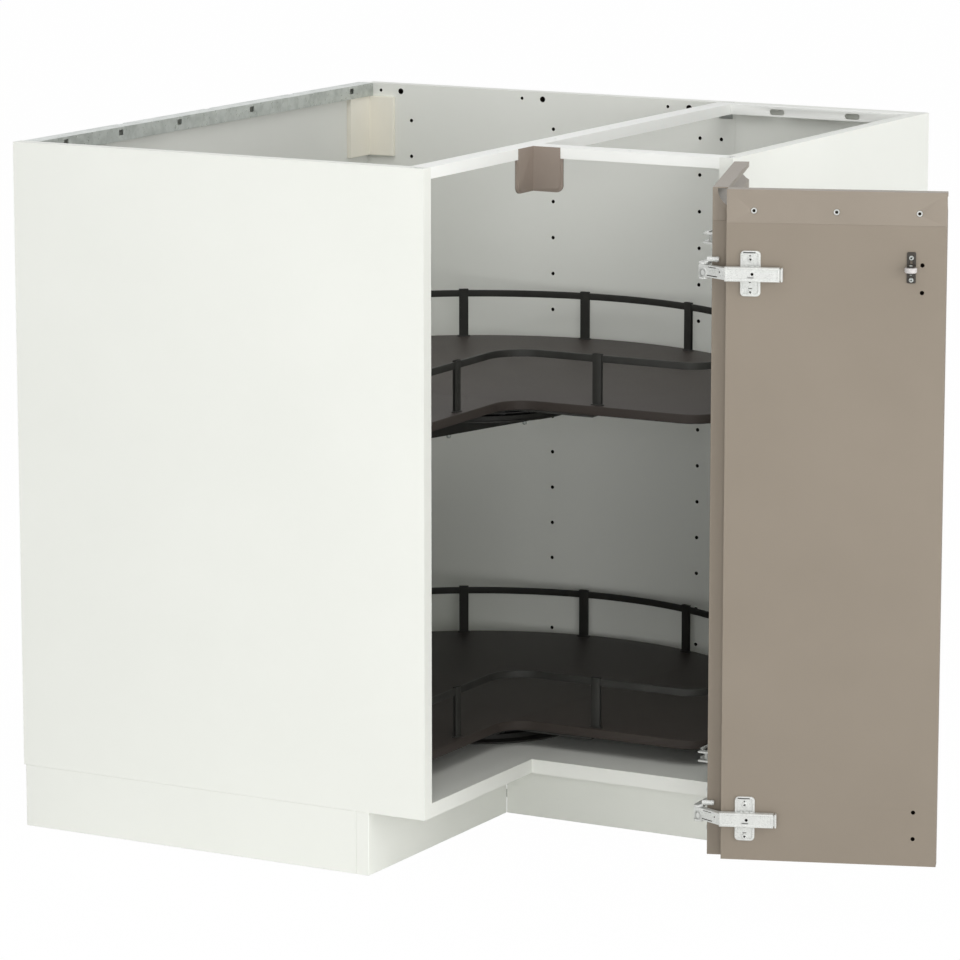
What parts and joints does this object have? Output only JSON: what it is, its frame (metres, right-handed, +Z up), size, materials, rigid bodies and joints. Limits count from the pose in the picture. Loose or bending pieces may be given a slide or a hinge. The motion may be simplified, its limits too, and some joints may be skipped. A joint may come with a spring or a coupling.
{
  "type": "corner carousel cabinet",
  "caption": "White L-shaped corner base cabinet on a plinth, with a folding two-leaf beige corner door and railed dark shelves that turn on swivels.",
  "frame": {"origin": "the room corner behind the cabinet, at floor level: where the planes of its two wall faces meet the floor", "axes": "+Z up, +Y into the rear room wall, -X into the left room wall; the opening faces +X and -Y"},
  "size_m": [1.2238, 0.865, 0.88],
  "materials": {
    "white_board": "white melamine-faced particleboard, satin",
    "white_steel": "white powder coat, satin",
    "zinc_steel": "zinc-coated, dull",
    "nickel_steel": "nickel plate, bright",
    "cream_plastic": "cream, matt",
    "beige_plastic": "dark beige, satin",
    "black_plastic": "black, matt",
    "white_plastic": "white, satin",
    "beige_board": "dark beige foil over fibreboard, matt",
    "beige_metal": "dark beige lacquer over aluminium, matt",
    "dark_steel": "dark grey powder coat, satin",
    "brown_metal": "dark grey-brown lacquer, satin",
    "dark_board": "dark grey foil over board, matt"
  },
  "bodies": {
    "carcass": {"left_side_panel": "white_board", "right_side_panel": "white_board", "back_panel": "white_board", "rear_side_panel": "white_board", "rear_filler_panel": "white_board", "bottom_panel": "white_board", "cam_locks": "zinc_steel", "zinc_wall_rail": "zinc_steel", "front_rail_left": "white_steel", "front_rail_right": "white_steel", "far_rail": "white_steel", "rail_brackets": "zinc_steel", "corner_plates": "nickel_steel", "corner_cover": "cream_plastic", "corner_filler": "beige_plastic", "leg_sleeves": "black_plastic", "leg_stems": "black_plastic", "leg_feet": "black_plastic", "plinth_front_left": "white_board", "plinth_front_right": "white_board", "plinth_side_left": "white_board", "plinth_side_right": "white_board", "plinth_clips": "white_plastic", "catch_strike": "zinc_steel", "crossbar": "dark_steel", "crossbar_brackets": "dark_steel", "crossbar_screws": "zinc_steel", "swivel_bolts": "zinc_steel", "upper_swivel_base": "dark_steel", "upper_swivel_balls": "zinc_steel", "lower_swivel_base": "dark_steel", "lower_swivel_balls": "zinc_steel", "lower_swivel_screws": "zinc_steel", "wide_hinge_arms": "nickel_steel", "wide_hinge_plates": "nickel_steel", "wide_hinge_screws": "zinc_steel"},
    "right_door_leaf": {"right_leaf": "beige_board", "right_grip": "beige_metal", "right_grip_screws": "nickel_steel", "wide_hinge_cups": "nickel_steel", "wide_hinge_pins": "zinc_steel", "corner_hinge_cups": "nickel_steel", "corner_hinge_pins": "zinc_steel"},
    "guided_links": {"wide_hinge_links": "nickel_steel", "wide_hinge_slide_pins": "zinc_steel"},
    "left_door_leaf": {"left_leaf": "beige_board", "left_grip": "beige_metal", "left_grip_screws": "nickel_steel", "corner_hinge_arms": "nickel_steel", "corner_hinge_plates": "nickel_steel", "catch_bracket": "brown_metal"},
    "roller": {"catch_roller": "white_plastic"},
    "upper_carousel": {"upper_shelf_board": "dark_board", "upper_shelf_rail": "dark_steel", "upper_shelf_posts": "dark_steel", "upper_swivel_top": "dark_steel"},
    "lower_carousel": {"lower_shelf_board": "dark_board", "lower_shelf_rail": "dark_steel", "lower_shelf_posts": "dark_steel", "lower_swivel_top": "dark_steel"}
  },
  "joints": [
    {"name": "door_swing", "type": "hinge", "parent": "carcass", "child": "right_door_leaf", "pos_m": [0.8734, -0.5942, 0.48], "axis": [0, 0, 1], "range_deg": [-110.3, 42.7]},
    {"name": "link_swing", "type": "hinge", "parent": "right_door_leaf", "child": "guided_links", "pos_m": [0.88617, -0.61215, 0.48], "axis": [0, 0, 1], "range_deg": [-25.2, 64.9]},
    {"name": "leaf_fold", "type": "hinge", "parent": "right_door_leaf", "child": "left_door_leaf", "pos_m": [0.95265, -0.8436, 0.48], "axis": [0, 0, -1], "range_deg": [0, 60]},
    {"name": "roller_spin", "type": "hinge", "parent": "left_door_leaf", "child": "roller", "pos_m": [1.1899, -0.78889, 0.79], "axis": [0, 0, 1], "continuous": true},
    {"name": "upper_shelf_turn", "type": "hinge", "parent": "carcass", "child": "upper_carousel", "pos_m": [0.42545, -0.4325, 0.543], "axis": [0, 0, 1], "range_deg": [0, 360]},
    {"name": "lower_shelf_turn", "type": "hinge", "parent": "carcass", "child": "lower_carousel", "pos_m": [0.42545, -0.4325, 0.126], "axis": [0, 0, 1], "range_deg": [0, 360]}
  ],
  "couplings": [
    {"joint": "link_swing", "follows": "door_swing", "ratio": -0.587}
  ]
}
